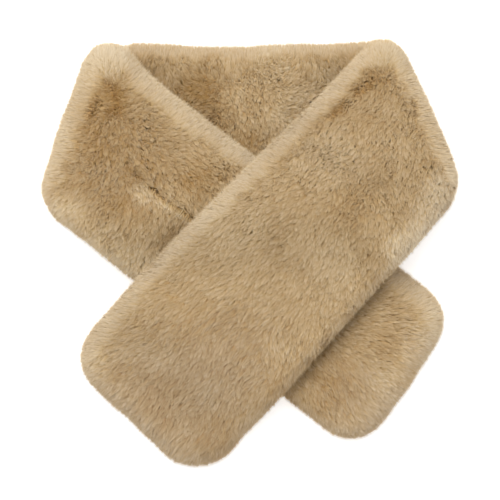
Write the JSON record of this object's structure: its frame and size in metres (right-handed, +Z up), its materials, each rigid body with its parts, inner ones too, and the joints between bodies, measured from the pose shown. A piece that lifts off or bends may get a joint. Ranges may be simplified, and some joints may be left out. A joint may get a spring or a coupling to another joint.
{
  "type": "fur collar wrap",
  "caption": "Flat plush fur scarf collar, folded over at both shoulders and crossed in front, with a lengthwise pull-through slit in one end.",
  "frame": {"origin": "middle of the footprint, on the surface that the scarf lies on", "axes": "+X across the shoulders, +Y from the scarf's ends towards the back of the neck, +Z up off the surface"},
  "size_m": [0.3284, 0.3368, 0.0709],
  "materials": {
    "fur": "short dense plush pile, soft beige brown with paler tips, matt with a slight sheen along the nap"
  },
  "bodies": {
    "root": {"back_stretch": "fur", "left_stretch": "fur", "right_stretch": "fur"}
  },
  "joints": []
}
